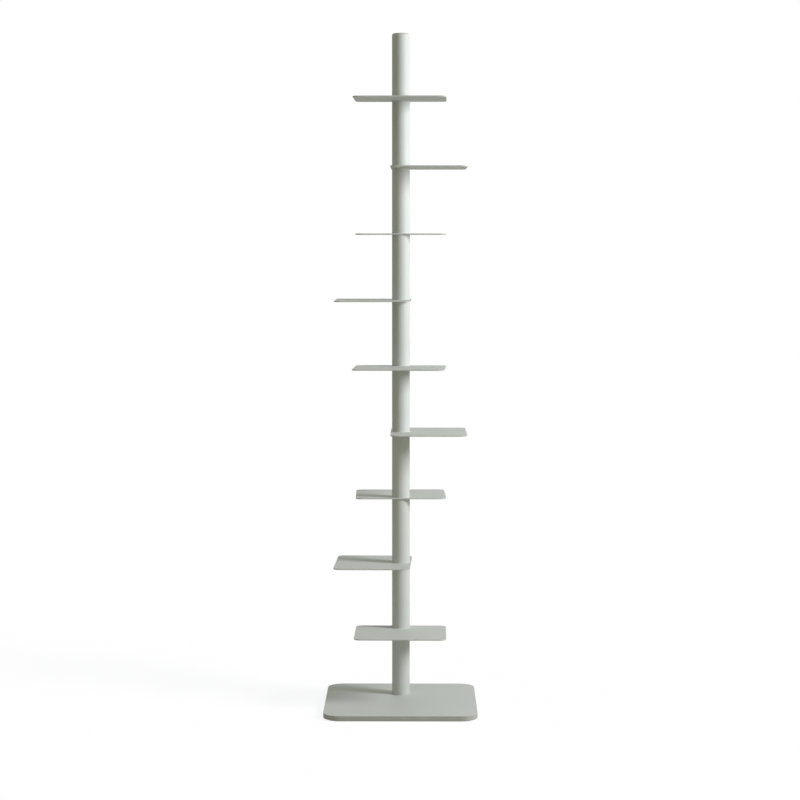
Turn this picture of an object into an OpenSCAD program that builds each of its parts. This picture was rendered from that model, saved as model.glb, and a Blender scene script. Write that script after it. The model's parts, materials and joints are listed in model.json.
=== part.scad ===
// Rotating column bookshelf: a steel book tower whose nine shelf plates each turn on one column.
// Millimetres, +Z up. The origin is on the column's axis, on the floor. -Y is the front, +X the right.

/* [Base] */
// Width of the base plate, left to right
base_w = 405; // [360:5:480]
// Depth of the base plate, front to back
base_d = 405; // [360:5:480]
// Thickness of the base plate
base_t = 13; // [10:1:20]
// Radius of the base plate's corners, seen from above
base_corner_r = 44; // [20:1:80]
// Rounding of the base plate's upper and lower edges
base_edge_r = 1; // [0.5:0.5:3]
// Depth of the round seat in the base plate that the foot tube stands in
seat_depth = 3; // [1:0.5:4]
// Distance from the column's axis to the base plate's back edge
axis_to_back = 130; // [90:1:180]
// Thickness of the felt mat under the base plate
mat_t = 2; // [1:0.5:4]
// How far the mat stays inside the base plate's edge
mat_inset = 6; // [3:1:15]

/* [Shelves] */
// Width of a shelf plate, across the direction that it points in
shelf_w = 245; // [200:5:300]
// Length of a shelf plate, from its near side behind the column to its far side
shelf_len = 205; // [160:5:260]
// Thickness of a shelf plate
shelf_t = 3; // [2:0.5:6]
// Radius of a shelf plate's corners
shelf_corner_r = 18; // [8:1:24]
// How far a shelf plate reaches behind the column's surface
shelf_heel = 3.5; // [1.5:0.5:20]

/* [Column] */
// Outer diameter of the sleeves and the foot tube
tube_d = 48; // [46:1:54]
// Wall of the sleeves and the foot tube
tube_wall = 1.5; // [1.2:0.1:2.5]
// Length of each sleeve below the topmost, which sets the step from shelf to shelf
tube_len = 178; // [140:2:220]
// Length of the topmost sleeve, which the cap stands on
top_tube_len = 173; // [140:1:220]
// Length of the foot tube, which sets the height of the lowest shelf
foot_tube_len = 182; // [140:2:240]
// Bevel round the mouth of a shelf plate's hole, for the weld, and of the base plate's seat
mouth_bevel = 0.5; // [0.3:0.1:1]
// Outer diameter of the mast inside the column
mast_d = 38; // [34:1:40]
// Wall of the mast
mast_wall = 2; // [1.5:0.5:3]
// Thickness of the cap above the column
cap_t = 7; // [7:1:12]
// Rounding of the cap's upper edge
cap_edge_r = 6; // [2:1:6]
// Depth of the cap's boss inside the mast
cap_boss_h = 6; // [4:1:12]

/* [Bearings] */
// Length of a plastic bush
bush_len = 20; // [10:1:40]
// Running clearance between a bush and the mast, on the radius
running_gap = 0.08; // [0.04:0.02:0.1]
// Thickness of a thrust washer
washer_t = 0.6; // [0.4:0.1:2]
// How far a thrust washer's rim lies inside the column's surface
washer_inset = 0.3; // [0.1:0.1:1]
// Clearance between the mast and a thrust washer's hole, on the radius
washer_gap = 1; // [0.5:0.1:2]

/* [Fasteners] */
// Thread diameter of the base bolts and the cap screw
bolt_d = 8; // [6:1:8]
// Head diameter of the base bolts and the cap screw
bolt_head_d = 16; // [14:1:17]
// Width across the corners of the hexagon socket
socket_d = 5.8; // [4:0.2:7]
// Depth of the hexagon socket
socket_h = 3; // [2:0.5:4]
// How far a bolt's head lies below its face
head_sink = 0.4; // [0:0.1:1]
// Clearance round a bolt in a plate, on the radius
bolt_gap = 0.4; // [0.2:0.1:0.6]
// Diameter of the circle that the base bolts stand on
bolt_circle_d = 30; // [28:1:32]
// Length of bolt inside the mast foot
bolt_grip = 13; // [8:1:20]
// Length of the cap screw inside the mast plug
screw_grip = 12; // [8:1:16]
// Length of the mast plug
plug_len = 20; // [18:1:40]
// Length of the spigot on the mast foot that the mast stands over
spigot_len = 50; // [30:5:80]
// Length of the spigot that joins the two lengths of mast
joiner_len = 120; // [60:10:160]
// Wall of the joining spigot
joiner_wall = 3; // [2:0.5:5]

/* [Hidden] */
// Way that each shelf points at rest, anticlockwise from the right, top shelf first: a quarter turn
// apart, as far as hands have set them
shelf_turn = [269, 0, 90, 180, 268, 0, 91, 178.5, 269.5];
shelf_count = len(shelf_turn);
base_bolt_count = 4;
tap_spare = 3;      // tapped depth past the end of a bolt
plug_floor_t = 2;   // metal left over the mast foot's tapped holes
mat_hole_gap = 1;   // clearance round a bolt's head in the mat
cut = 1;            // overshoot of a cutting solid

tube_r = tube_d / 2;
tube_bore_r = tube_r - tube_wall;
mast_r = mast_d / 2;
mast_bore_r = mast_r - mast_wall;
heel = tube_r + shelf_heel;                    // column axis to a shelf's near side
seat_z = mat_t + base_t - seat_depth;           // the foot tube's lower end
foot_disc_t = bolt_grip + tap_spare + plug_floor_t;
mast_bottom = seat_z + foot_disc_t;
stack_top = sleeve_z(1) + top_tube_len + washer_t;
split_shelf = ceil(shelf_count / 2);           // the mast is joined inside this shelf's sleeve
mast_split = sleeve_z(split_shelf) + tube_len / 2;

// Lower end of a shelf's sleeve, level with its plate's underside; a sleeve and a washer make one step
function sleeve_z(n) = seat_z + foot_tube_len + washer_t + (tube_len + washer_t) * (shelf_count - n);
function sleeve_len(n) = n == 1 ? top_tube_len : tube_len;
function shelf_node(n, piece) = str("shelf_", n, "_", piece);

$fn = 96;
coat = [0.80, 0.82, 0.80];
steel = [0.62, 0.63, 0.64];
nylon = [0.93, 0.92, 0.88];
felt = [0.22, 0.22, 0.23];

// Upright ring between two radii
module ring(outer, inner, h) {
    difference() {
        cylinder(r = outer, h = h);
        translate([0, 0, -cut]) cylinder(r = inner, h = h + 2 * cut);
    }
}

// Flat plate with round corners; its low corner is at the origin
module round_plate(w, d, t, r) {
    translate([r, 0, 0]) cube([w - 2 * r, d, t]);
    translate([0, r, 0]) cube([w, d - 2 * r, t]);
    for (x = [r, w - r], y = [r, d - r]) translate([x, y, 0]) cylinder(r = r, h = t);
}

// Cross-section of a strip with a rounded long edge on both sides
module soft_strip(w, t, edge) {
    translate([0, edge]) square([w, t - 2 * edge]);
    translate([edge, 0]) square([w - 2 * edge, t]);
    for (x = [edge, w - edge], y = [edge, t - edge]) translate([x, y]) circle(r = edge);
}

// Disc with a rounded rim above and below
module soft_disc(r, t, edge) {
    rotate_extrude() intersection() {
        translate([-r, 0]) soft_strip(2 * r, t, edge);
        square([r, t]);
    }
}

// Plate with round corners and rounded edges; its low corner is at the origin
module soft_plate(w, d, t, r, edge) {
    translate([w - r, 0, 0]) rotate([90, 0, -90]) linear_extrude(w - 2 * r)
        translate([-d, 0]) soft_strip(d, t, edge);
    translate([0, d - r, 0]) rotate([90, 0, 0]) linear_extrude(d - 2 * r) soft_strip(w, t, edge);
    for (x = [r, w - r], y = [r, d - r]) translate([x, y, 0]) soft_disc(r, t, edge);
}

// Countersunk screw with a hexagon socket; its head's face is at z = 0 and it points up
module countersunk_screw(length) {
    cone_h = (bolt_head_d - bolt_d) / 2;
    difference() {
        union() {
            cylinder(d1 = bolt_head_d, d2 = bolt_d, h = cone_h);
            cylinder(d = bolt_d, h = length);
        }
        translate([0, 0, -cut]) cylinder(d = socket_d, h = socket_h + cut, $fn = 6);
    }
}

// Hole for that screw in a plate whose outer face is at z = 0; the head lies below the face
module countersunk_hole(depth) {
    wide_d = bolt_head_d + 2 * bolt_gap;
    narrow_d = bolt_d + 2 * bolt_gap;
    translate([0, 0, -cut]) cylinder(d = narrow_d, h = depth + 2 * cut);
    translate([0, 0, head_sink]) cylinder(d1 = wide_d, d2 = narrow_d, h = (wide_d - narrow_d) / 2);
    translate([0, 0, -cut]) cylinder(d = wide_d, h = head_sink + cut);
}

// Cutter for a tube's hole whose mouth, with its bevel, is at z = 0
module tube_hole(depth) {
    translate([0, 0, -depth]) cylinder(r = tube_r, h = depth + cut);
    translate([0, 0, -mouth_bevel])
        cylinder(r1 = tube_r, r2 = tube_r + mouth_bevel + cut, h = mouth_bevel + cut);
}

module at_base_bolts() {
    for (i = [0:base_bolt_count - 1])
        rotate([0, 0, (i + 0.5) * 360 / base_bolt_count]) translate([bolt_circle_d / 2, 0, 0]) children();
}

// The stand
module base_plate() {
    color(coat) difference() {
        translate([-base_w / 2, axis_to_back - base_d, mat_t])
            soft_plate(base_w, base_d, base_t, base_corner_r, base_edge_r);
        translate([0, 0, mat_t + base_t]) tube_hole(seat_depth);
        translate([0, 0, mat_t]) at_base_bolts() countersunk_hole(base_t - seat_depth);
    }
}

module floor_mat() {
    color(felt) difference() {
        translate([mat_inset - base_w / 2, axis_to_back - base_d + mat_inset, 0])
            round_plate(base_w - 2 * mat_inset, base_d - 2 * mat_inset, mat_t, base_corner_r - mat_inset);
        at_base_bolts() translate([0, 0, -cut])
            cylinder(d = bolt_head_d + 2 * mat_hole_gap, h = mat_t + 2 * cut);
    }
}

module base_bolts() {
    color(steel) translate([0, 0, mat_t + head_sink]) at_base_bolts()
        countersunk_screw(base_t - seat_depth - head_sink + bolt_grip);
}

module mast_foot() {
    color(steel) difference() {
        union() {
            translate([0, 0, seat_z]) cylinder(r = tube_bore_r, h = foot_disc_t);
            translate([0, 0, mast_bottom]) cylinder(r = mast_bore_r, h = spigot_len);
        }
        translate([0, 0, seat_z - cut]) at_base_bolts() cylinder(d = bolt_d, h = bolt_grip + tap_spare + cut);
    }
}

module mast_lower() {
    color(steel) translate([0, 0, mast_bottom]) ring(mast_r, mast_bore_r, mast_split - mast_bottom);
}

module mast_joiner() {
    color(steel) translate([0, 0, mast_split - joiner_len / 2])
        ring(mast_bore_r, mast_bore_r - joiner_wall, joiner_len);
}

module mast_upper() {
    color(steel) translate([0, 0, mast_split]) ring(mast_r, mast_bore_r, stack_top - mast_split);
}

module mast_plug() {
    plug_top = stack_top - cap_boss_h;
    color(steel) translate([0, 0, plug_top - plug_len]) difference() {
        cylinder(r = mast_bore_r, h = plug_len);
        translate([0, 0, plug_len - screw_grip - tap_spare])
            cylinder(d = bolt_d, h = screw_grip + tap_spare + cut);
    }
}

// Length of the column's tube whose lower end is at z
module column_tube(z, length) {
    color(coat) translate([0, 0, z]) ring(tube_r, tube_bore_r, length);
}

module foot_tube() { column_tube(seat_z, foot_tube_len); }

module foot_ring() {
    color(nylon) translate([0, 0, seat_z + foot_tube_len - bush_len]) ring(tube_bore_r, mast_r, bush_len);
}

// Washer on a tube whose upper end is at z
module thrust_washer(z) {
    color(nylon) translate([0, 0, z]) ring(tube_r - washer_inset, mast_r + washer_gap, washer_t);
}

module foot_washer() { thrust_washer(seat_z + foot_tube_len); }

module top_cap() {
    color(coat) translate([0, 0, stack_top]) difference() {
        union() {
            rotate_extrude() intersection() {
                union() {
                    square([tube_r, cap_t - cap_edge_r]);
                    square([tube_r - cap_edge_r, cap_t]);
                    translate([tube_r - cap_edge_r, cap_t - cap_edge_r]) circle(r = cap_edge_r);
                }
                square([tube_r, cap_t]);
            }
            translate([0, 0, -cap_boss_h]) cylinder(r = mast_bore_r, h = cap_boss_h + cap_t / 2);
        }
        translate([0, 0, cap_t]) mirror([0, 0, 1]) countersunk_hole(cap_t + cap_boss_h);
    }
}

module cap_screw() {
    color(steel) translate([0, 0, stack_top + cap_t - head_sink]) mirror([0, 0, 1])
        countersunk_screw(cap_t - head_sink + cap_boss_h + screw_grip);
}

// One turning shelf: its sleeve goes through the plate and is welded in the plate's hole
module shelf_plate(n) {
    color(coat) translate([0, 0, sleeve_z(n)]) rotate([0, 0, shelf_turn[n - 1]]) difference() {
        translate([-heel, -shelf_w / 2, 0]) round_plate(shelf_len, shelf_w, shelf_t, shelf_corner_r);
        translate([0, 0, shelf_t]) tube_hole(shelf_t + cut);
    }
}

module shelf_bush(z) {
    color(nylon) translate([0, 0, z]) ring(tube_bore_r, mast_r + running_gap, bush_len);
}

base_plate();
floor_mat();
base_bolts();
mast_foot();
mast_lower();
mast_joiner();
mast_upper();
mast_plug();
foot_tube();
foot_ring();
foot_washer();
top_cap();
cap_screw();
for (n = [1:shelf_count]) {
    shelf_plate(n);
    column_tube(sleeve_z(n), sleeve_len(n));
    shelf_bush(sleeve_z(n));
    shelf_bush(sleeve_z(n) + sleeve_len(n) - bush_len);
    thrust_washer(sleeve_z(n) + sleeve_len(n));
}
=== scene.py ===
# %% [markdown]
# # Rotating column bookshelf
# The object is a steel book tower. A round column stands on a heavy square base plate, and nine thin
# shelf plates are strung along it, each welded to its own length of tube, so that each one turns by
# itself. What carries load, moves or fits was made in CAD; this file only dresses those solids.
#
# Nearly everything that shows is sheet steel or tube under one pale grey-green powder coat. Such
# pieces live by their edges: a deburred rim, a weld, a hairline where one sleeve turns on the next.
# So nearly every visible piece is rebuilt here as a smooth surface worked out with numpy, from the same
# sizes as the solids, and the finish is then made from noise that is measured in real millimetres.

# %% Tools and the fixed frame
import json
import math

import bmesh
import bpy
import numpy as np
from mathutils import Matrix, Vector

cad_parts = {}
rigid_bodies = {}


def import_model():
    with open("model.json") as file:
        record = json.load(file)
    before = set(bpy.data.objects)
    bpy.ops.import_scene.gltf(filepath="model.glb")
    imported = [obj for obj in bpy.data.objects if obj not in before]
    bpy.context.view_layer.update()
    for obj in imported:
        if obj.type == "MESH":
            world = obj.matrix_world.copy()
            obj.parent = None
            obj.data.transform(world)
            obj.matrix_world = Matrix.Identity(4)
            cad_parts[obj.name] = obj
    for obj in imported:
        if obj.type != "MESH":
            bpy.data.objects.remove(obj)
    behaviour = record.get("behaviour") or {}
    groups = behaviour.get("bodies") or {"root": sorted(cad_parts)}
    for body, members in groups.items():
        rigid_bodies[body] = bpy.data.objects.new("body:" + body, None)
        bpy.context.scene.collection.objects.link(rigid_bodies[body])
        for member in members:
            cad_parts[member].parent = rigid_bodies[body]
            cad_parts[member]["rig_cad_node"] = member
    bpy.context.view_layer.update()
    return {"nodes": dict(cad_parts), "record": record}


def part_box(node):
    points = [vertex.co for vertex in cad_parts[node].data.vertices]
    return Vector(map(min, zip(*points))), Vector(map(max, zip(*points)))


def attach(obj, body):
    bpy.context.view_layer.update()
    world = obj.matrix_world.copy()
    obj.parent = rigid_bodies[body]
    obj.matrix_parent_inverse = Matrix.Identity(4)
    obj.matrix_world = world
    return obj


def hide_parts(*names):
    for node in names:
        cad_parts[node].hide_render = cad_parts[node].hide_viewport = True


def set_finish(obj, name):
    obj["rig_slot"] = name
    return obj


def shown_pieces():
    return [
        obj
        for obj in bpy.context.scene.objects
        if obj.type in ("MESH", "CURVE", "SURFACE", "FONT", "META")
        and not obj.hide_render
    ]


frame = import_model()
MM = 0.001
TURN = 2 * np.pi

# %% [markdown]
# ## Sizes that the pieces share
# Heights and radii are read from the boxes of the CAD nodes, so a dressed piece can't drift away from
# the solid that it stands for. What a box doesn't tell, such as a corner's radius, is written down
# once here, with the value that the CAD source has. The way that a shelf points at rest is read from
# its mount: the mount lies on the plate's centre line, so its direction from the axis is the plate's.
#
# The heel is how far a plate reaches behind the column's axis. The bore, the bolt circle and the names
# that end in _R are radii.

# %% Sizes
SHELF_LEN, SHELF_WIDE, SHELF_THICK = 205 * MM, 245 * MM, 3 * MM
SHELF_HEEL, SHELF_CORNER = 27.5 * MM, 18 * MM
BASE_CORNER, BASE_EDGE, SEAT_DEPTH, MOUTH_BEVEL = 44 * MM, 1 * MM, 3 * MM, 0.5 * MM
TUBE_WALL, MAST_BORE = 1.5 * MM, 17 * MM
BOLT_CIRCLE, BOLT_R, HEAD_R, HEAD_SINK, BOLT_GAP = 15 * MM, 4 * MM, 8 * MM, 0.4 * MM, 0.4 * MM
SOCKET_R, SOCKET_DEEP = 2.9 * MM, 3 * MM

TUBE_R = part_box("foot_tube")[1].x
SHELVES = range(1, 1 + sum(name.endswith("_plate") and name.startswith("shelf") for name in frame["nodes"]))
mounts = {m["name"]: m for m in frame["record"]["mounts"]}
shelf_turn = {n: math.atan2(*mounts[f"shelf_{n}_top"]["pos_m"][1::-1]) for n in SHELVES}
print("column tube: radius %.2f mm" % (TUBE_R / MM))
print("shelves point at", {n: round(math.degrees(a) % 360, 1) for n, a in shelf_turn.items()})

# %% [markdown]
# ## The camera
# The photograph was taken from about five and a half metres, at chest height, looking slightly down.
# A camera placed any nearer would splay the shelves: here the plates above eye level show a sliver of
# underside and those below show more and more of their tops, and that pattern fixes both the height
# and the distance. A long lens and a small vertical shift then put the tower where the photo has it.

# %% Camera
def add_object(name, data):
    """A new object with this data, in the scene."""
    made = bpy.data.objects.new(name, data)
    bpy.context.scene.collection.objects.link(made)
    return made


FOCAL_PX, VIEW_WIDTH_PX, AXIS_ROW_PX = 2081.6, 800, 375
CAMERA_AT = Vector((0.0338, -5.6232, 1.2406))
LOOK_DOWN, LOOK_LEFT = math.radians(3.598), math.radians(0.370)

camera_data = bpy.data.cameras.new("camera")
camera_data.sensor_width = 36
camera_data.lens = camera_data.sensor_width * FOCAL_PX / VIEW_WIDTH_PX
camera_data.shift_y = (AXIS_ROW_PX - VIEW_WIDTH_PX / 2) / VIEW_WIDTH_PX
camera = add_object("camera", camera_data)
camera.location = CAMERA_AT
camera.rotation_euler = (math.pi / 2 - LOOK_DOWN, 0, LOOK_LEFT)
bpy.context.scene.camera = camera
print("lens %.1f mm, shift %.3f, eye height %.2f m" % (camera_data.lens, camera_data.shift_y, CAMERA_AT.z))

# %% [markdown]
# ## Surfaces as grids
# Every piece here is a family of rings: a profile point is carried once round a centre, and the rings
# are sewn together with quads. Round things have rings of one radius. A rounded rectangle is a ring
# as well, whose radius changes with the angle, so the same few lines make tubes, plates and screws.
#
# Grids that meet are computed with the same points on the line where they meet. Points that coincide
# are then merged, which closes seams and turns the quads at a pole into triangles.

# %% Rings and quads
def rings(radius, height, angle, centre=(0.0, 0.0)):
    """Points (cx + r cos a, cy + r sin a, z) for each profile row (r, z) and each angle a of the ring.
    A row's radius is one number, or one for each angle. The rows share one set of angles, or each has its
    own."""
    shape = (len(height), np.shape(angle)[-1])
    radius = np.broadcast_to(np.asarray(radius, float).reshape(len(height), -1), shape)
    height = np.broadcast_to(np.asarray(height, float)[:, None], radius.shape)
    return np.stack([centre[0] + radius * np.cos(angle), centre[1] + radius * np.sin(angle), height], -1)


def sew(grid, rim=0.0, closed_rows=False):
    """Points, quads and rim values of a grid. Each row closes on itself, and quad (i, j) joins the points
    (i, j), (i, j+1), (i+1, j+1), (i+1, j). With closed_rows the last row is joined to the first too."""
    rows, columns = grid.shape[:2]
    i, j = np.meshgrid(np.arange(rows - (not closed_rows)), np.arange(columns), indexing="ij")
    up, on = (i + 1) % rows, (j + 1) % columns
    quads = np.stack([i * columns + j, i * columns + on, up * columns + on, up * columns + j], -1)
    rim = np.broadcast_to(np.asarray(rim, float).reshape(-1, 1), (rows, columns))
    return grid.reshape(-1, 3), quads.reshape(-1, 4), rim.reshape(-1)


def even_angles(count):
    """Angles of a full turn in even steps."""
    return np.arange(count) * TURN / count


# %% From grids to a piece
MERGE_STEPS_PER_METRE = 1e6
SHARP_OVER = math.radians(35)


def make_piece(name, sewn, body, slot, replaced):
    """One closed mesh from sewn grids: points that agree to a thousandth of a millimetre are merged, a
    quad with two equal corners becomes a triangle, and the normals are turned outwards."""
    starts = np.cumsum([0] + [len(points) for points, _, _ in sewn[:-1]])
    points = np.concatenate([points for points, _, _ in sewn])
    quads = np.concatenate([quads + start for (_, quads, _), start in zip(sewn, starts)])
    rim = np.concatenate([rim for _, _, rim in sewn])
    rounded = np.round(points * MERGE_STEPS_PER_METRE).astype(int)
    _, first, same = np.unique(rounded, axis=0, return_index=True, return_inverse=True)
    points, rim, quads = points[first], rim[first], same.reshape(-1)[quads]
    twin = quads == np.roll(quads, -1, axis=1)
    whole, cut = twin.sum(1) == 0, twin.sum(1) == 1
    triangles = quads[cut][~twin[cut]].reshape(-1, 3)

    mesh = bpy.data.meshes.new(name)
    mesh.from_pydata(points.tolist(), [], quads[whole].tolist() + triangles.tolist())
    mesh.attributes.new("rim", "FLOAT", "POINT").data.foreach_set("value", rim.astype(np.float32))
    shell = bmesh.new()
    shell.from_mesh(mesh)
    bmesh.ops.recalc_face_normals(shell, faces=shell.faces)
    open_edges, volume = sum(not e.is_manifold for e in shell.edges), shell.calc_volume()
    shell.to_mesh(mesh)
    shell.free()
    mesh.shade_smooth()
    mesh.set_sharp_from_angle(angle=SHARP_OVER)
    piece = add_object(name, mesh)
    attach(piece, body)
    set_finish(piece, slot)
    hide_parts(*replaced)
    print(f"{name}: {len(mesh.polygons)} faces, {open_edges} open edges, {volume * 1e6:.1f} cm3")
    return piece


# %% [markdown]
# ## Column tubes
# A sleeve is a length of 48 mm tube, sawn square and tumbled before it is coated, so its ends have a
# small round instead of a knife edge. Where two sleeves meet, those two rounds and the thin plastic
# washer between them draw the fine dark ring that shows under each shelf. The top end of each tube also
# gets the coat's darker rim colour, which is partly wear and partly painted shade under the shelf above.
#
# The tube goes through its shelf plate and is welded round the top. The coat softens the bead to a
# small hollow fillet with a faint ripple. A Bevel modifier could round the ends but not lay that
# bead, so the whole section is written as one closed profile and turned about the axis.

# %% Tube profile
TUBE_STEPS = 144
END_ROUND, END_RIM = 0.45 * MM, 1.2 * MM
BEAD, BEAD_DIP, BEAD_POINTS = 1.3 * MM, 0.1 * MM, 9
RIPPLES, RIPPLE = 68, 0.09 * MM
WALL_FROM, WALL_TO, WALL_ROWS = 4 * MM, 3 * MM, 5


def quarter_round(corner, start, end, radius, steps=6):
    """Points of a quarter circle that rounds a square corner. It is centred at corner + radius (start + end),
    the unit directions back along the profile and on along it, and runs from one side to the other:
    centre - radius (end cos a + start sin a), for a from 0 to a quarter turn."""
    corner, start, end = (np.asarray(v, float) for v in (corner, start, end))
    a = np.linspace(0, np.pi / 2, steps + 1)[:, None]
    return corner + radius * (start + end) - radius * (end * np.cos(a) + start * np.sin(a))


def tube_profile(length, bead_foot):
    """(radius, height, rim) of a tube's closed section, from the bore's lower edge round the outside and
    back down the bore. bead_foot is the height of the plate that the bead lies on, or None. The bead is a
    quarter circle, hollow side out, whose foot dips a little into the plate."""
    bore = TUBE_R - TUBE_WALL
    parts = [quarter_round((bore, 0), (0, 1), (1, 0), END_ROUND / 2, 3),
             quarter_round((TUBE_R, 0), (-1, 0), (0, 1), END_ROUND / 2, 3)]
    if bead_foot:
        a = np.linspace(0, np.pi / 2, BEAD_POINTS)[:, None]
        foot = np.array([TUBE_R + BEAD, bead_foot])
        parts += [np.array([[TUBE_R, bead_foot - BEAD], [TUBE_R + BEAD, bead_foot - BEAD_DIP]]),
                  foot + BEAD * np.hstack([-np.sin(a), 1 - np.cos(a)])]
    heights = np.linspace((bead_foot or 0) + WALL_FROM, length - WALL_TO, WALL_ROWS)
    parts += [np.stack([np.full(WALL_ROWS, TUBE_R), heights], -1),
              quarter_round((TUBE_R, length), (0, -1), (-1, 0), END_ROUND),
              quarter_round((bore, length), (1, 0), (0, -1), END_ROUND, 4)]
    radius, height = np.concatenate(parts).T
    # The rim value marks the tube's top end, just under the shelf or cap above; its rim colour there is
    # partly wear and partly painted shade.
    rim = np.clip(1 - np.abs(height - length) / END_RIM, 0, 1) * (radius > bore)
    return radius, height, rim


def column_tube(name, node, body, bead_foot=None):
    """The tube profile turned about the column's axis. Over the bead the radius gets a ripple,
    r + ripple * 4 s (1 - s) * cos(k a), where s falls from 1 at the bead's foot to 0 at its top."""
    angle = even_angles(TUBE_STEPS)
    low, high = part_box(node)
    radius, height, rim = tube_profile(high.z - low.z, bead_foot)
    over = np.clip((radius - TUBE_R) / BEAD, 0, 1)[:, None]
    wavy = radius[:, None] + RIPPLE * 4 * over * (1 - over) * np.cos(RIPPLES * angle)
    make_piece(name, [sew(rings(wavy, low.z + height, angle), rim, closed_rows=True)],
               body, "powder_coat", [node])


# %% The foot tube and nine sleeves
column_tube("foot_tube_coated", "foot_tube", "stand")
for n in SHELVES:
    column_tube(f"sleeve_{n}", f"shelf_{n}_sleeve", f"shelf_{n}", SHELF_THICK)

# %% [markdown]
# ## Cap and screws
# The cap closes the mast and keeps the stack from lifting off. It is a turned disc with a boss, and its
# upper edge is rounded nearly over its whole thickness, which gives the column its soft shoulder. One
# countersunk screw holds it down, and the washer under it leaves a hairline over the topmost sleeve.
# Four more hold the mast to the base plate from below. A screw is a turned shape until its socket
# begins; there the ring's radius changes from a circle's to a hexagon's, which is still a formula of
# the angle.

# %% Cap
cap_low, cap_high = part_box("top_cap")
CAP_EDGE, CAP_THICK, CAP_STEPS = 6 * MM, 7 * MM, 120
CAP_LOWER_ROUND, HOLE_ROUND = 0.35 * MM, 0.25 * MM
EDGE_LOOP, HOLE_LOOP = 0.8 * MM, 1.2 * MM
HOLE_WIDE, HOLE_NARROW = HEAD_R + BOLT_GAP, BOLT_R + BOLT_GAP
under, over = cap_high.z - CAP_THICK, cap_high.z
cone_foot = over - HEAD_SINK - (HOLE_WIDE - HOLE_NARROW)
cap_profile = np.concatenate([
    [[MAST_BORE, cap_low.z], [MAST_BORE, under]],
    quarter_round((TUBE_R, under), (-1, 0), (0, 1), CAP_LOWER_ROUND, 4),
    quarter_round((TUBE_R, over), (0, -1), (-1, 0), CAP_EDGE, 16),
    [[TUBE_R - CAP_EDGE - EDGE_LOOP, over], [HOLE_WIDE + HOLE_LOOP, over]],
    quarter_round((HOLE_WIDE, over), (1, 0), (0, -1), HOLE_ROUND, 4),
    [[HOLE_WIDE, over - HEAD_SINK], [HOLE_NARROW, cone_foot], [HOLE_NARROW, cap_low.z]]])
cap_grid = rings(*cap_profile.T, even_angles(CAP_STEPS))
make_piece("cap_coated", [sew(cap_grid, closed_rows=True)], "stand", "powder_coat", ["top_cap"])


# %% Screws
SCREW_STEPS = 96
TIP_CHAMFER, HEAD_LAND, HEAD_ROUND, CONE_LIFT = 0.6 * MM, 0.25 * MM, 0.12 * MM, 0.1 * MM
HEAD_LOOP, SOCKET_LOOP, SOCKET_CHAMFER = 0.5 * MM, 0.45 * MM, 0.25 * MM
HEX_FROM, FLOOR_CHAMFER, POINT_DEEP = 0.4 * MM, 0.15 * MM, 0.4 * MM
HEX_SHARE, FLOOR_SHARE = 0.98, 0.9


def hexagon(angle, corner_r):
    """Distance from a hexagon's centre to its side along each angle: s / cos(a), where s is half the width
    across the flats and a is the angle to the middle of the nearest flat. A corner lies at angle 0."""
    a = angle % (np.pi / 3) - np.pi / 6
    return corner_r * math.cos(math.pi / 6) / np.cos(a)


def screw(face, up, length, centre):
    """One countersunk screw as a sewn grid. Rows run from the thread's tip over the cone and the head's face
    into the socket, which narrows at its floor and ends in a shallow point, as a broached one does. face is
    the height of the head's face, and up is 1 or -1, the way that the screw points."""
    angle = even_angles(SCREW_STEPS)
    six = hexagon(angle, SOCKET_R)
    shank = [(0, length), (BOLT_R - TIP_CHAMFER, length), (BOLT_R, length - TIP_CHAMFER),
             (BOLT_R, HEAD_R - BOLT_R)]
    head = [(HEAD_R - HEAD_LAND, HEAD_LAND + CONE_LIFT), (HEAD_R, HEAD_LAND), (HEAD_R, HEAD_ROUND),
            (HEAD_R - HEAD_ROUND, 0), (HEAD_R - HEAD_LOOP, 0)]
    socket = [(SOCKET_R + SOCKET_LOOP, 0), (SOCKET_R, SOCKET_CHAMFER), (six * HEX_SHARE, HEX_FROM),
              (six * HEX_SHARE, SOCKET_DEEP - FLOOR_CHAMFER), (six * FLOOR_SHARE, SOCKET_DEEP),
              (0, SOCKET_DEEP + POINT_DEEP)]
    rows = shank + head + socket
    radius = np.stack([np.broadcast_to(r, angle.shape) for r, _ in rows])
    height = face + up * np.array([h for _, h in rows])
    return sew(rings(radius, height, angle, centre))


screw_low, screw_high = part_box("cap_screw")
make_piece("cap_screw_plated", [screw(screw_high.z, -1, screw_high.z - screw_low.z, (0, 0))],
           "stand", "zinc_steel", ["cap_screw"])
bolt_low, bolt_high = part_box("base_bolts")
bolt_places = [(sx * BOLT_CIRCLE * math.sqrt(0.5), sy * BOLT_CIRCLE * math.sqrt(0.5))
               for sx, sy in ((1, 1), (-1, 1), (-1, -1), (1, -1))]
make_piece("base_bolts_plated",
           [screw(bolt_low.z, 1, bolt_high.z - bolt_low.z, place) for place in bolt_places],
           "stand", "zinc_steel", ["base_bolts"])

# %% [markdown]
# ## Plates
# A shelf is a 3 mm laser-cut plate with round corners. Nothing is folded, so what makes it look real
# is its rim: the cut edges are deburred, and the coat rounds them a little more.
#
# Seen from the column's axis, the outline of a rounded rectangle is a distance for each direction.
# Written so, the outline, the same outline drawn in by a fraction of a millimetre, and the round hole
# are all rings over the same directions. The plate is then one closed stack of rings: out over the
# top, round the edge, back under, and up through the hole.

# %% Outline of a plate
TINY = 1e-12
# How far the rim's wear and painted shade reach onto a plate's faces, and how strong they are there.
RIM_FADE = ((3.2 * MM, 0.0), (0.9 * MM, 0.35))


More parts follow.
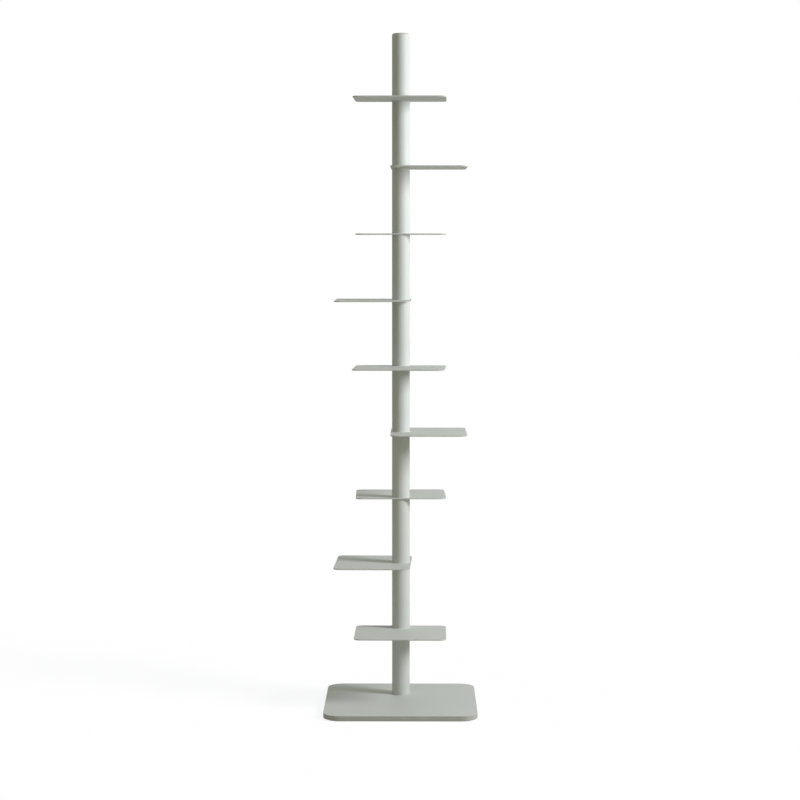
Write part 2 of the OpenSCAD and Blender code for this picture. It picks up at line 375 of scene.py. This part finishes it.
def reach(angle, low, high, corner):
    """Distance from the axis to a rounded rectangle's edge along each angle. The nearest side is met at
    t = side / ray. If that point lies in a corner's square, the corner's circle is met instead, at
    t = b + sqrt(b b - c c + r r), with b = ray . centre and c the centre's own distance."""
    ray = np.stack([np.cos(angle), np.sin(angle)], -1)
    ray = np.where(np.abs(ray) < TINY, TINY, ray)
    low, high = np.asarray(low), np.asarray(high)
    t = (np.where(ray > 0, high, low) / ray).min(-1)
    hit = ray * t[:, None]
    centre = np.clip(hit, low + corner, high - corner)
    b, c2 = (ray * centre).sum(-1), (centre ** 2).sum(-1)
    in_corner = (np.abs(centre - hit) > TINY).all(-1)
    return np.where(in_corner, b + np.sqrt(np.maximum(b * b - c2 + corner ** 2, 0)), t)


def outline_angles(low, high, corner, even=144, arc=12):
    """The directions that a plate's rings share: even steps, and closer ones over the four corner arcs."""
    (x0, y0), (x1, y1) = low, high
    centres = np.array([[x1 - corner, y1 - corner], [x0 + corner, y1 - corner],
                        [x0 + corner, y0 + corner], [x1 - corner, y0 + corner]])
    sweep = np.linspace(0, np.pi / 2, arc + 1) + np.arange(4)[:, None] * np.pi / 2
    on_arc = centres[:, None] + corner * np.stack([np.cos(sweep), np.sin(sweep)], -1)
    angle = np.concatenate([even_angles(even), np.arctan2(on_arc[..., 1], on_arc[..., 0]).ravel() % TURN])
    return np.unique(np.round(angle, 6))


def inset_box(low, high, inset):
    """The corners of a rectangle that is drawn in by inset on every side."""
    return (low[0] + inset, low[1] + inset), (high[0] - inset, high[1] - inset)


def edge_rows(edge, thick, steps=6):
    """(inset, height, rim) of the rows round a plate's edge, from the top face down to the lower face:
    inset = edge (1 - sin a) and height = thick - edge (1 - cos a), then the same mirrored below. On the
    faces the rim value fades out inwards; it carries the rim's wear and its painted shade."""
    a = np.linspace(0, np.pi / 2, steps + 1)
    inset, drop = edge * (1 - np.sin(a)), edge * (1 - np.cos(a))
    hold = np.array([[edge + inwards, 0.0, wear] for inwards, wear in RIM_FADE])
    top = np.vstack([hold, np.stack([inset, drop, np.ones(steps + 1)], -1)])
    return np.vstack([top * [1, -1, 1] + [0, thick, 0], top[::-1]])


# %% Shelf plates
SHELF_EDGE = 0.7 * MM
HOLE_MARGIN, MARGIN_SLOPE, INNERMOST = 0.62 * MM, 0.3, 3.9 * MM
TOWARDS_HOLE = (0.5, 0.15, 0.0)
shelf_low, shelf_high = (-SHELF_HEEL, -SHELF_WIDE / 2), (SHELF_LEN - SHELF_HEEL, SHELF_WIDE / 2)
shelf_angle = outline_angles(shelf_low, shelf_high, SHELF_CORNER)
shelf_rows = edge_rows(SHELF_EDGE, SHELF_THICK)


def plate_rows(angle, rows, low, high, corner, hole):
    """(radius, height, rim) rows from a hole's mouth over a plate's top face, round its edge and on. Next to
    the hole a row never comes nearer to it than the row before, so the rows stay in order where the plate
    is narrow: radius = max(reach, hole + margin + slope (innermost - inset))."""
    made = []
    for inset, height, rim in rows:
        nearest = hole + HOLE_MARGIN + MARGIN_SLOPE * (INNERMOST - inset)
        outline = reach(angle, *inset_box(low, high, inset), corner - inset)
        made.append((np.maximum(outline, nearest), height, rim))
    mouth = hole + MOUTH_BEVEL
    for share in TOWARDS_HOLE:
        made.insert(0, (mouth + share * (made[-len(rows)][0] - mouth), rows[0][1], 0.0))
    return made


def stack(rows, angle, lift=0.0):
    """Grid and rim values of (radius, height, rim) rows."""
    radius = np.stack([np.broadcast_to(r, angle.shape) for r, _, _ in rows])
    height, rim = np.array([row[1:] for row in rows], float).T
    return rings(radius, lift + height, angle), rim


def shelf_piece(n):
    """The rows from the hole's mouth to the underside, then back to the hole and up through it."""
    rows = plate_rows(shelf_angle, shelf_rows, shelf_low, shelf_high, SHELF_CORNER, TUBE_R)
    last = rows[-1][0]
    rows += [(TUBE_R + share * (last - TUBE_R), 0.0, 0.0) for share in TOWARDS_HOLE]
    rows.append((np.array(TUBE_R), SHELF_THICK - MOUTH_BEVEL, 0.0))
    grid, rim = stack(rows, shelf_angle + shelf_turn[n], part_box(f"shelf_{n}_plate")[0].z)
    make_piece(f"plate_{n}", [sew(grid, rim, closed_rows=True)],
               f"shelf_{n}", "powder_coat", [f"shelf_{n}_plate"])


for n in SHELVES:
    shelf_piece(n)
print("directions round a shelf:", len(shelf_angle))

# %% [markdown]
# ## Base plate and felt mat
# The base is a 13 mm plate, heavy enough to keep the tower upright, with its upper and lower edges
# rounded. A shallow round seat takes the foot tube, and four countersunk holes let in the bolts from
# below. A round hole in a face without cracks is a small puzzle for a grid. It is solved by cutting
# the face into quarters along the two lines through the axis: each quarter has one hole, and seen
# from that hole it is again a ring, between the hole's circle and the quarter's border.
#
# Under the base lies a felt mat, cut a little smaller so that it doesn't show, which leaves the dark
# line between base and floor. Its cut edge is never quite straight, so its radius wavers slightly.

# %% Quarters with a hole
ALONG_LINE = np.array([0.0, 0.01, 0.03, 0.07, 0.16, 0.35, 0.65])
ANGLE_SLACK = 1e-5


def quarters(angle, spread):
    """The four quarters of an outline given as distance over angle. Each starts at the axis, runs out along
    one line, along the outline, and back along the next line."""
    turn = np.append(angle, TURN)
    spread = np.append(spread, spread[0])
    for k in range(4):
        a0, a1 = k * TURN / 4, (k + 1) * TURN / 4
        inside = (turn > a0 - ANGLE_SLACK) & (turn < a1 + ANGLE_SLACK)
        a, r = turn[inside], spread[inside]
        radius = np.concatenate([ALONG_LINE * r[0], r, ALONG_LINE[:0:-1] * r[-1]])
        way = np.concatenate([np.full(len(ALONG_LINE), a0), a, np.full(len(ALONG_LINE) - 1, a1)])
        yield np.stack([radius * np.cos(way), radius * np.sin(way)], -1)


def around_hole(border, centre, hole, height, shares=(0.0, 0.03, 0.12, 0.4, 1.0)):
    """Rows from a hole's circle to a border: circle + share (border - circle), where each border point's
    partner on the circle lies in the same direction. Also returns those directions."""
    way = np.arctan2(border[:, 1] - centre[1], border[:, 0] - centre[0])
    circle = rings([hole], [height], way, centre)[0]
    edge = np.column_stack([border, np.full(len(border), height)])
    return np.stack([circle + share * (edge - circle) for share in shares]), way


# %% Base plate
base_low, base_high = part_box("base_plate")
low, high = tuple(base_low[:2]), tuple(base_high[:2])
base_thick = base_high.z - base_low.z
seat = base_thick - SEAT_DEPTH
base_angle = outline_angles(low, high, BASE_CORNER, arc=18)
seat_rows = [(np.array(TUBE_R), height, 0.0) for height in (seat, seat + SEAT_DEPTH - MOUTH_BEVEL)]
base_edge = edge_rows(BASE_EDGE, base_thick, 8)
base_rows = seat_rows + plate_rows(base_angle, base_edge, low, high, BASE_CORNER, TUBE_R)
base_sewn = [sew(*stack(base_rows, base_angle, base_low.z))]
under_border = quarters(base_angle, base_rows[-1][0])
seat_border = quarters(base_angle, np.full(len(base_angle), TUBE_R))
for place, under_quarter, seat_quarter in zip(bolt_places, under_border, seat_border):
    under_face, way = around_hole(under_quarter, place, HOLE_WIDE, base_low.z)
    seat_face, seat_way = around_hole(seat_quarter, place, HOLE_NARROW, base_low.z + seat)
    cone = base_low.z + HEAD_SINK + np.array([0.0, HOLE_WIDE - HOLE_NARROW])
    wall = rings([HOLE_WIDE, HOLE_WIDE, HOLE_NARROW, HOLE_NARROW], [base_low.z, *cone, base_low.z + seat],
                 np.stack([way, way, way, seat_way]), place)
    base_sewn += [sew(under_face), sew(wall), sew(seat_face)]
make_piece("base_coated", base_sewn, "stand", "powder_coat", ["base_plate"])

# %% Felt mat
mat_low, mat_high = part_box("floor_mat")
MAT_CORNER, MAT_EDGE, MAT_HOLE = 38 * MM, 0.6 * MM, 9 * MM
low, high = tuple(mat_low[:2]), tuple(mat_high[:2])
mat_angle = outline_angles(low, high, MAT_CORNER, even=288)
WAVER, WAVES = 0.14 * MM, ((11, 0.4), (29, 2.1), (53, 4.0))
waver = WAVER * sum(np.sin(count * mat_angle + phase) for count, phase in WAVES) / len(WAVES)
mat_rows = []
for inset, height, rim in edge_rows(MAT_EDGE, mat_high.z - mat_low.z, 4):
    outline = reach(mat_angle, *inset_box(low, high, inset), MAT_CORNER - inset)
    mat_rows.append((outline + waver * rim, height, rim))
mat_sewn = [sew(*stack(mat_rows, mat_angle, mat_low.z))]
for place, quarter in zip(bolt_places, quarters(mat_angle, mat_rows[0][0])):
    upper_face, way = around_hole(quarter, place, MAT_HOLE, mat_high.z)
    lower_face, _ = around_hole(quarter, place, MAT_HOLE, mat_low.z)
    wall = rings([MAT_HOLE] * 2, [mat_low.z, mat_high.z], way, place)
    mat_sewn += [sew(upper_face), sew(lower_face), sew(wall)]
mat = make_piece("floor_mat_felt", mat_sewn, "stand", "felt", ["floor_mat"])

# %% [markdown]
# ## Finishes
# Powder coat is paint that was sprayed on dry and melted, so it has a skin of its own: a slow wave
# like orange peel, a fine matt grain on top, and tone that drifts a little over a plate. At a rim the
# powder thins out and is handled most, so there the grain is fainter. The rim's tone is also a touch
# darker and warmer, partly that wear and partly painted shade, on the edges and on each tube's top end
# under the shelf above. The side of the base is painted darker still, in uneven patches, up to its
# upper edge: that is painted shade, as that face gets little of the lamp's light.
#
# The four finishes share one effect, a skin of clouds, waves, grain, the rim's colour and the painted
# shade low down, so it is a node group that each material sets by its own values. Sizes are in object
# coordinates, hence in metres: a scale of 1 / 0.002 is a wave of two millimetres, and a point's height
# over the floor is simply its z.

# %% Node helpers
def add_node(tree, kind, feeds=None, **settings):
    """A shader node with its settings, and values or links for its inputs."""
    node = tree.nodes.new(kind)
    for key, value in settings.items():
        setattr(node, key, value)
    for key, value in (feeds or {}).items():
        if isinstance(value, bpy.types.NodeSocket):
            tree.links.new(value, node.inputs[key])
        else:
            node.inputs[key].default_value = value
    return node


def math_node(tree, operation, *values, clamp=False):
    """The output of a Math node."""
    feeds = dict(enumerate(values))
    return add_node(tree, "ShaderNodeMath", feeds, operation=operation, use_clamp=clamp).outputs[0]


def noise(tree, where, wavelength, detail, roughness):
    """Perlin noise whose lumps are about wavelength metres apart."""
    feeds = {"Vector": where, "Scale": 1 / wavelength, "Detail": detail, "Roughness": roughness}
    return add_node(tree, "ShaderNodeTexNoise", feeds).outputs["Fac"]


def mix_colours(tree, share, first, second):
    """The output of a Mix node for colours, whose factor and two colours are its inputs 0, 6 and 7."""
    return add_node(tree, "ShaderNodeMix", {0: share, 6: first, 7: second}, data_type="RGBA").outputs[2]


# %% The shared skin
skin = bpy.data.node_groups.new("surface_skin", "ShaderNodeTree")
COLOUR, NUMBER = "NodeSocketColor", "NodeSocketFloat"
for name, kind, value in (("Colour", COLOUR, (0.6, 0.6, 0.6, 1)),
                          ("Cloud Colour", COLOUR, (0.5, 0.5, 0.5, 1)),
                          ("Cloud Share", NUMBER, 0.3), ("Wave Length", NUMBER, 2 * MM),
                          ("Grain Length", NUMBER, 0.3 * MM), ("Grain Share", NUMBER, 0.4),
                          ("Roughness", NUMBER, 0.55), ("Roughness Spread", NUMBER, 0.1),
                          ("Rim", NUMBER, 0.0), ("Rim Colour", COLOUR, (0.7, 0.7, 0.7, 1)),
                          ("Painted Shade Height", NUMBER, 0.0), ("Painted Shade Colour", COLOUR, (0.4, 0.4, 0.4, 1))):
    socket = skin.interface.new_socket(name, in_out="INPUT", socket_type=kind)
    socket.default_value = value
for name, kind in (("Colour", COLOUR), ("Roughness", NUMBER), ("Height", NUMBER)):
    skin.interface.new_socket(name, in_out="OUTPUT", socket_type=kind)

given = add_node(skin, "NodeGroupInput").outputs
place = add_node(skin, "ShaderNodeTexCoord").outputs["Object"]


def in_skin(operation, *values, clamp=False):
    """The output of a Math node in the skin."""
    return math_node(skin, operation, *values, clamp=clamp)


def scaled_noise(length, detail):
    """Noise in the skin whose wavelength comes from a socket."""
    feeds = {"Vector": place, "Scale": in_skin("DIVIDE", 1.0, length), "Detail": detail}
    return add_node(skin, "ShaderNodeTexNoise", feeds).outputs["Fac"]


CLOUD_LENGTH, SMUDGE_LENGTH = 0.21, 0.045
CLOUD_PART, SPECK_PART = 0.7, 0.3
# How much of the rim colour shows, and the height over which the painted shade on the base's side fades out.
RIM_STRENGTH, PAINTED_SHADE_FADE = 0.6, 1 * MM
# The part of a noise that is used: factor * noise + offset, held between 0 and 1.
CLOUD_CUT, SPECK_CUT, PATCH_CUT = (2.4, -0.7), (3.0, -1.2), (0.7, 0.15)

clouds = noise(skin, place, CLOUD_LENGTH, detail=3.0, roughness=0.6)
smudges = noise(skin, place, SMUDGE_LENGTH, detail=4.0, roughness=0.65)
wave = scaled_noise(given["Wave Length"], detail=1.0)
grain = scaled_noise(given["Grain Length"], detail=2.0)
cloud = in_skin("MULTIPLY", in_skin("MULTIPLY_ADD", clouds, *CLOUD_CUT, clamp=True), given["Cloud Share"])
speck = in_skin("MULTIPLY", in_skin("MULTIPLY_ADD", grain, *SPECK_CUT, clamp=True), given["Cloud Share"])
cloud_tone, speck_tone = in_skin("MULTIPLY", cloud, CLOUD_PART), in_skin("MULTIPLY", speck, SPECK_PART)
tone = in_skin("ADD", cloud_tone, speck_tone, clamp=True)
body_colour = mix_colours(skin, tone, given["Colour"], given["Cloud Colour"])
# The rim colour, darker and warmer at edges and at the tube ends under each shelf: partly wear, partly
# painted shade.
rim_share = in_skin("MULTIPLY", given["Rim"], RIM_STRENGTH)
worn_and_shaded_colour = mix_colours(skin, rim_share, body_colour, given["Rim Colour"])
# Painted shade: up to the given height, the base's side turns to a darker colour in uneven patches.
above = add_node(skin, "ShaderNodeSeparateXYZ", {0: place}).outputs["Z"]
low_down = in_skin("DIVIDE", in_skin("SUBTRACT", given["Painted Shade Height"], above), PAINTED_SHADE_FADE, clamp=True)
patchy = in_skin("MULTIPLY_ADD", smudges, *PATCH_CUT, clamp=True)
colour = mix_colours(skin, in_skin("MULTIPLY", low_down, patchy), worn_and_shaded_colour, given["Painted Shade Colour"])
uneven = in_skin("MULTIPLY", in_skin("SUBTRACT", smudges, 0.5), given["Roughness Spread"])
rough = in_skin("ADD", given["Roughness"], uneven, clamp=True)
calm = in_skin("SUBTRACT", 1.0, rim_share)
fine = in_skin("MULTIPLY", in_skin("MULTIPLY", grain, given["Grain Share"]), calm)
height = in_skin("ADD", wave, fine)
add_node(skin, "NodeGroupOutput", {"Colour": colour, "Roughness": rough, "Height": height})
print("shared skin:", len(skin.nodes), "nodes")


# %% One material for each finish
def finish(name, relief, skin_values, shader_values):
    """A Principled material whose colour, roughness and bump come from the shared skin. relief is the
    height of the skin's lumps in metres; shader_values are constants on the shader's own sockets."""
    material = bpy.data.materials.new(name)
    material.use_nodes = True
    tree = material.node_tree
    tree.nodes.clear()
    rim = add_node(tree, "ShaderNodeAttribute", attribute_name="rim", attribute_type="GEOMETRY")
    look = add_node(tree, "ShaderNodeGroup", node_tree=skin)
    for key, value in skin_values.items():
        look.inputs[key].default_value = value
    tree.links.new(rim.outputs["Fac"], look.inputs["Rim"])
    colour, rough, height = (look.outputs[key] for key in ("Colour", "Roughness", "Height"))
    bump = add_node(tree, "ShaderNodeBump", {"Height": height, "Strength": 1.0, "Distance": relief})
    shader = add_node(tree, "ShaderNodeBsdfPrincipled", {
        "Base Color": colour, "Roughness": rough, "Normal": bump.outputs["Normal"], **shader_values})
    add_node(tree, "ShaderNodeOutputMaterial", {"Surface": shader.outputs[0]})
    return material


def rgb(red, green, blue):
    """A colour that is written as on a screen, 0 to 255, in the linear numbers that nodes take:
    c / 12.92 below 0.04045, else ((c + 0.055) / 1.055) ^ 2.4."""
    c = np.array([red, green, blue]) / 255
    c = np.where(c < 0.04045, c / 12.92, ((c + 0.055) / 1.055) ** 2.4)
    return (*map(float, c), 1.0)


FINISHES = {
    "powder_coat": (0.16 * MM,
                    {"Colour": rgb(206, 210, 208), "Cloud Colour": rgb(200, 204, 202),
                     # A darker, warmer rim colour: partly wear, partly painted shade.
                     "Rim Colour": rgb(192, 194, 188), "Cloud Share": 0.8,
                     "Wave Length": 3 * MM, "Grain Length": 0.6 * MM, "Grain Share": 0.25,
                     # The base's side, below 14.7 mm, gets a darker colour: painted shade.
                     "Painted Shade Height": 14.7 * MM, "Painted Shade Colour": rgb(160, 160, 156),
                     "Roughness": 0.58, "Roughness Spread": 0.12},
                    {"Specular IOR Level": 0.3}),
    "zinc_steel": (0.012 * MM,
                   {"Colour": rgb(196, 198, 202), "Cloud Colour": rgb(168, 172, 180),
                    "Rim Colour": rgb(214, 215, 216), "Cloud Share": 0.7,
                    "Wave Length": 0.9 * MM, "Grain Length": 0.16 * MM, "Grain Share": 0.6,
                    "Roughness": 0.34, "Roughness Spread": 0.2},
                   {"Metallic": 1.0}),
    "nylon": (0.02 * MM,
              {"Colour": rgb(236, 233, 222), "Cloud Colour": rgb(222, 217, 202),
               "Rim Colour": rgb(240, 238, 230), "Cloud Share": 0.6,
               "Wave Length": 1.6 * MM, "Grain Length": 0.2 * MM, "Grain Share": 0.3,
               "Roughness": 0.46, "Roughness Spread": 0.15},
              {}),
    "felt": (0.35 * MM,
             {"Colour": rgb(60, 60, 62), "Cloud Colour": rgb(88, 87, 86),
              "Rim Colour": rgb(74, 74, 75), "Cloud Share": 1.0,
              "Wave Length": 1.1 * MM, "Grain Length": 0.25 * MM, "Grain Share": 0.9,
              "Roughness": 0.95, "Roughness Spread": 0.05},
             {"Specular IOR Level": 0.15, "Sheen Weight": 0.35, "Sheen Roughness": 0.6}),
}
materials = {name: finish(name, *values) for name, values in FINISHES.items()}
print("materials:", ", ".join(materials))

# %% Every piece and every CAD node that still shows gets its finish
slot_of = {part["node"]: part["material_slot"] for part in frame["record"]["subparts"]}
dressed = 0
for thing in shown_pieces():
    slot = thing.get("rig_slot") or slot_of.get(thing.get("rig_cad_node"))
    if slot:
        thing.data.materials.clear()
        thing.data.materials.append(materials[slot])
        dressed += 1
print("finishes set on", dressed, "pieces")

# %% [markdown]
# ## Floor and light
# The tower stands on a plain pale floor. One tall soft box on the right, a little to the front, gives
# the column its bright side. An even surround fills the rest, and the floor throws some of both back,
# so that what faces down is a little warmer than what faces up.
#
# The photo's ground is plain white. The camera, and reflections, therefore see only a small share of
# the floor's lit colour, and a glow makes up what that share lacks to white. Without the tower
# the floor would be white all over, so the only thing that shows on it is the tower's soft shadow.
# The surround is white in the same rays. Neither adds to the diffuse light on the tower.

# %% Light values and the floor's own brightness
KEY = dict(place=Vector((2.27, -0.918, 1.8)), target=Vector((0, 0, 1.7)), width=0.8, tall=1.1,
           power=75, colour=(0.95, 0.95, 0.98))
SURROUND = (0.308, 0.309, 0.246)
FLOOR_COLOUR = rgb(210, 208, 196)
FLOOR_SIZE, LIT_SHOWN = 16.0, 0.3


def seen_directly(tree):
    """1 for camera, glossy and transmission rays, else 0."""
    path = add_node(tree, "ShaderNodeLightPath").outputs
    first = math_node(tree, "MAXIMUM", path["Is Camera Ray"], path["Is Glossy Ray"])
    return math_node(tree, "MAXIMUM", first, path["Is Transmission Ray"])


def vector_node(tree, operation, *values, output=0):
    """An output of a Vector Math node."""
    made = add_node(tree, "ShaderNodeVectorMath", dict(enumerate(values)), operation=operation)
    return made.outputs[output]


def missing_to_white(tree):
    """The glow (1 - s L) / (1 - s) that brings a share s of the floor's lit colour L to white. The lit colour
    is floor colour * (surround + key colour * P (n . v) h / (pi^2 |v|^4)), with v from the lamp to the point,
    n the way that the lamp faces, h its height and P its power."""
    way = vector_node(tree, "SUBTRACT", add_node(tree, "ShaderNodeTexCoord").outputs["Object"], KEY["place"])
    faces = (KEY["target"] - KEY["place"]).normalized()
    facing = math_node(tree, "MAXIMUM", vector_node(tree, "DOT_PRODUCT", way, faces, output="Value"), 0.0)
    nearness = math_node(tree, "POWER", vector_node(tree, "LENGTH", way, output="Value"), -4.0)
    strength = math_node(tree, "MULTIPLY", math_node(tree, "MULTIPLY", facing, nearness),
                         KEY["power"] * KEY["place"].z / math.pi ** 2)
    falling = vector_node(tree, "MULTIPLY_ADD", KEY["colour"], strength, SURROUND)
    lit = vector_node(tree, "MULTIPLY", falling, FLOOR_COLOUR[:3])
    share = LIT_SHOWN / (1 - LIT_SHOWN)
    return vector_node(tree, "MULTIPLY_ADD", lit, (-share,) * 3, (1 + share,) * 3)


# %% Floor
FLOOR_POINTS = 33
step = np.linspace(-FLOOR_SIZE / 2, FLOOR_SIZE / 2, FLOOR_POINTS)
floor_grid = np.stack([*np.meshgrid(step, step, indexing="xy"), np.zeros((FLOOR_POINTS, FLOOR_POINTS))], -1)
i, j = np.meshgrid(np.arange(FLOOR_POINTS - 1), np.arange(FLOOR_POINTS - 1), indexing="ij")
corner, across = i * FLOOR_POINTS + j, (i + 1) * FLOOR_POINTS + j
floor_quads = np.stack([corner, corner + 1, across + 1, across], -1).reshape(-1, 4)
floor_mesh = bpy.data.meshes.new("floor")
floor_mesh.from_pydata(floor_grid.reshape(-1, 3).tolist(), [], floor_quads.tolist())
floor = add_object("floor", floor_mesh)
ground = bpy.data.materials.new("pale_floor")
ground.use_nodes = True
tree = ground.node_tree
tree.nodes.clear()
matt = add_node(tree, "ShaderNodeBsdfDiffuse", {"Color": FLOOR_COLOUR}).outputs[0]
glow = add_node(tree, "ShaderNodeEmission", {"Color": missing_to_white(tree), "Strength": 1.0}).outputs[0]
glow_share = math_node(tree, "MULTIPLY", seen_directly(tree), 1 - LIT_SHOWN)
add_node(tree, "ShaderNodeOutputMaterial",
         {"Surface": add_node(tree, "ShaderNodeMixShader", {0: glow_share, 1: matt, 2: glow}).outputs[0]})
floor_mesh.materials.append(ground)
print("floor: %.0f m wide, %d faces" % (FLOOR_SIZE, len(floor_mesh.polygons)))


# %% Lamp and surround
def soft_box(name, place, target, width, tall, power, colour):
    """A rectangular lamp that faces a target. On a facing surface d metres away it gives power / (pi d^2)."""
    lamp = bpy.data.lights.new(name, "AREA")
    lamp.shape, lamp.size, lamp.size_y, lamp.energy, lamp.color = "RECTANGLE", width, tall, power, colour
    holder = add_object(name, lamp)
    holder.location = place
    holder.rotation_euler = (target - place).to_track_quat("-Z", "Y").to_euler()
    print("lamp %s: %.0f W, %.2f m from its target" % (name, power, (target - place).length))


soft_box("key", **KEY)

world = bpy.data.worlds.new("surround")
bpy.context.scene.world = world
world.use_nodes = True
world.node_tree.nodes.clear()
surround = mix_colours(world.node_tree, seen_directly(world.node_tree), (*SURROUND, 1), (1, 1, 1, 1))
sky = add_node(world.node_tree, "ShaderNodeBackground", {"Color": surround, "Strength": 1.0})
add_node(world.node_tree, "ShaderNodeOutputWorld", {"Surface": sky.outputs[0]})
bpy.context.scene.view_settings.view_transform = "Standard"
